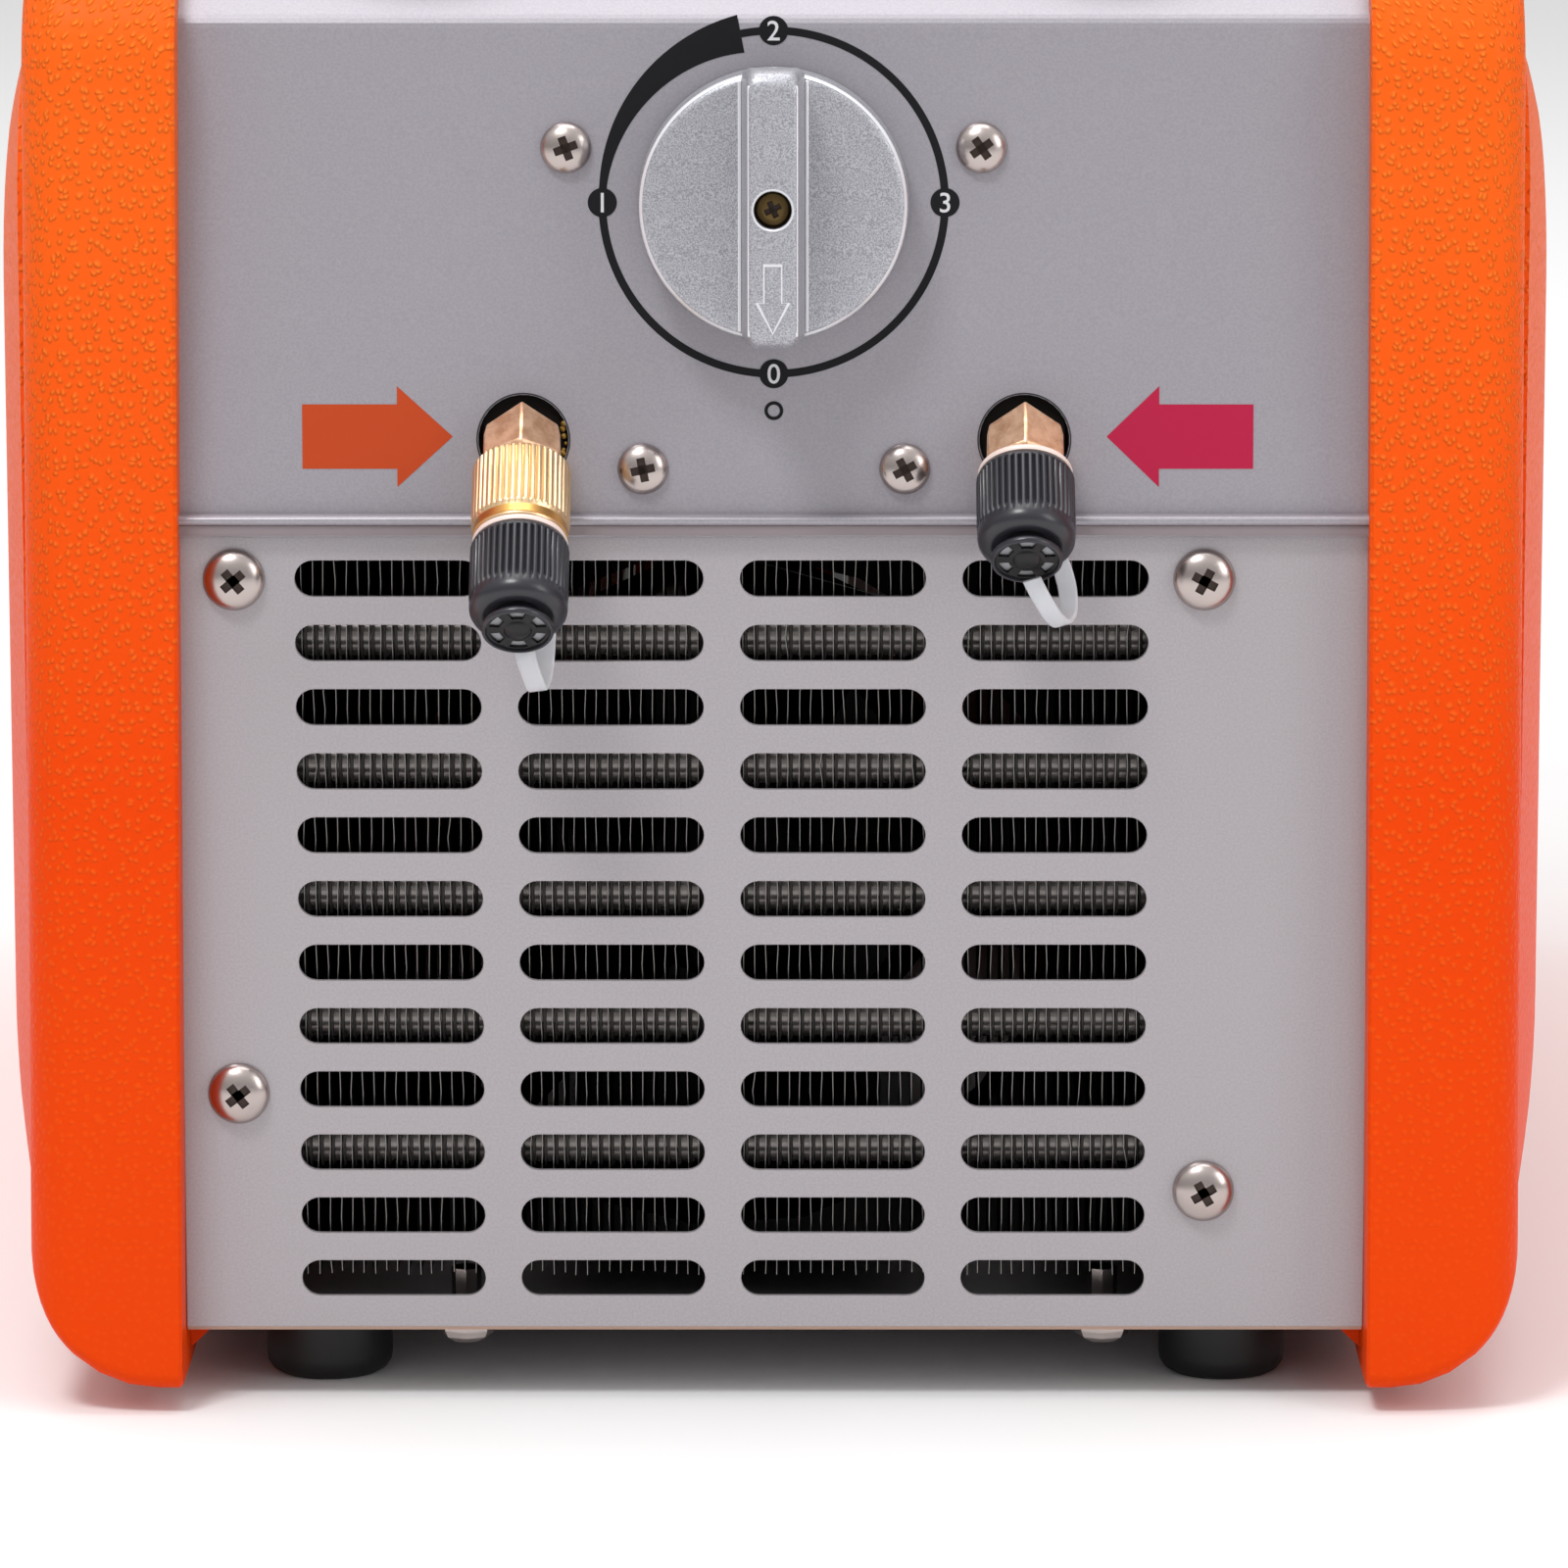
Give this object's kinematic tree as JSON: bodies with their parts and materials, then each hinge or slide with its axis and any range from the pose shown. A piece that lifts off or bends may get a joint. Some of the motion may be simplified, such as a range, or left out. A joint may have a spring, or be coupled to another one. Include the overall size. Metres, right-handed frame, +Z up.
{
  "type": "refrigerant recovery machine",
  "caption": "Portable refrigerant recovery machine with moulded side covers, slotted front grille, selector knob, capped brass ports, gauges and a carrying handle.",
  "frame": {"origin": "on the floor, in the middle of the footprint", "axes": "+Z up, the grille and selector knob face -Y, +X to the right seen from the front"},
  "size_m": [0.25, 0.422, 0.355],
  "materials": {
    "orange_plastic": "pebbled",
    "painted_sheet": "satin",
    "steel": "nickel plated",
    "knob_silver": "silver paint",
    "brass": "turned",
    "black_plastic": "satin",
    "rubber": "matte",
    "tether": "translucent",
    "dial_white": "matte",
    "needle_red": "satin",
    "lens": "clear",
    "aluminium": "cast and sheet",
    "copper": "drawn copper",
    "red_plastic": "smooth"
  },
  "bodies": {
    "chassis": {"base_pan": "painted_sheet", "front_grille": "painted_sheet", "control_panel": "painted_sheet", "rear_cover": "painted_sheet", "side_cover_left": "orange_plastic", "side_cover_right": "orange_plastic", "handle_bar": "black_plastic", "handle_grip": "rubber", "handle_bolt_left": "steel", "handle_bolt_right": "steel", "foot_front_left": "rubber", "foot_front_right": "rubber", "foot_rear_left": "rubber", "foot_rear_right": "rubber", "panel_screw_1": "steel", "panel_screw_2": "steel", "panel_screw_3": "steel", "panel_screw_4": "steel", "grille_screw_1": "steel", "grille_screw_2": "steel", "grille_screw_3": "steel", "grille_screw_4": "steel", "base_screw_1": "steel", "base_screw_2": "steel", "valve_block": "brass", "inlet_elbow": "brass", "outlet_elbow": "brass", "outlet_tether": "tether", "low_gauge_case": "black_plastic", "low_gauge_dial": "dial_white", "low_gauge_lens": "lens", "high_gauge_case": "black_plastic", "high_gauge_dial": "dial_white", "high_gauge_lens": "lens", "power_switch_body": "black_plastic", "power_inlet": "black_plastic", "breaker_body": "black_plastic", "breaker_nut": "steel", "condenser": "aluminium", "fan_shroud": "black_plastic", "motor": "steel", "compressor": "aluminium", "machine_bracket": "steel", "capacitor": "aluminium", "suction_pipe": "copper", "discharge_pipe": "copper", "condenser_pipe": "copper"},
    "selector": {"selector_knob": "knob_silver", "knob_screw": "brass", "valve_stem": "brass"},
    "inlet_filter": {"inlet_filter_coupler": "brass", "inlet_tether": "tether"},
    "inlet_cap": {"inlet_cap": "black_plastic"},
    "outlet_cap": {"outlet_cap": "black_plastic"},
    "low_needle": {"low_gauge_needle": "needle_red"},
    "high_needle": {"high_gauge_needle": "needle_red"},
    "power_rocker": {"power_switch_rocker": "red_plastic"},
    "reset_button": {"breaker_button": "red_plastic"},
    "fan": {"fan_rotor": "black_plastic"}
  },
  "joints": [
    {"name": "selector_turn", "type": "hinge", "parent": "chassis", "child": "selector", "pos_m": [0, -0.17733, 0.1935], "axis": [0, 0.9986, -0.0523], "range_deg": [0, 270]},
    {"name": "inlet_filter_unscrew", "type": "slide", "parent": "chassis", "child": "inlet_filter", "axis": [0, -0.7071, -0.7071], "range_m": [0, 0.012]},
    {"name": "inlet_cap_unscrew", "type": "slide", "parent": "inlet_filter", "child": "inlet_cap", "axis": [0, -0.7071, -0.7071], "range_m": [0, 0.014], "deforming": ["inlet_tether"]},
    {"name": "outlet_cap_unscrew", "type": "slide", "parent": "chassis", "child": "outlet_cap", "axis": [0, -0.7071, -0.7071], "range_m": [0, 0.014], "deforming": ["outlet_tether"]},
    {"name": "low_needle_turn", "type": "hinge", "parent": "chassis", "child": "low_needle", "pos_m": [-0.055, -0.14462, 0.2502], "axis": [0, 0.6691, -0.7431], "range_deg": [0, 270], "stiffness_Nm_per_rad": 0.0005},
    {"name": "high_needle_turn", "type": "hinge", "parent": "chassis", "child": "high_needle", "pos_m": [0.055, -0.14462, 0.2502], "axis": [0, 0.6691, -0.7431], "range_deg": [0, 270], "stiffness_Nm_per_rad": 0.0005},
    {"name": "power_rocker_tilt", "type": "hinge", "parent": "chassis", "child": "power_rocker", "pos_m": [0, -0.14462, 0.2502], "axis": [-1, 0, 0], "range_deg": [0, 20]},
    {"name": "reset_button_press", "type": "slide", "parent": "chassis", "child": "reset_button", "axis": [0, -1, 0], "range_m": [0, 0.003], "stiffness_N_per_m": 300},
    {"name": "fan_spin", "type": "hinge", "parent": "chassis", "child": "fan", "pos_m": [-0.00825, -0.1381, 0.078], "axis": [0, 1, 0], "continuous": true}
  ]
}
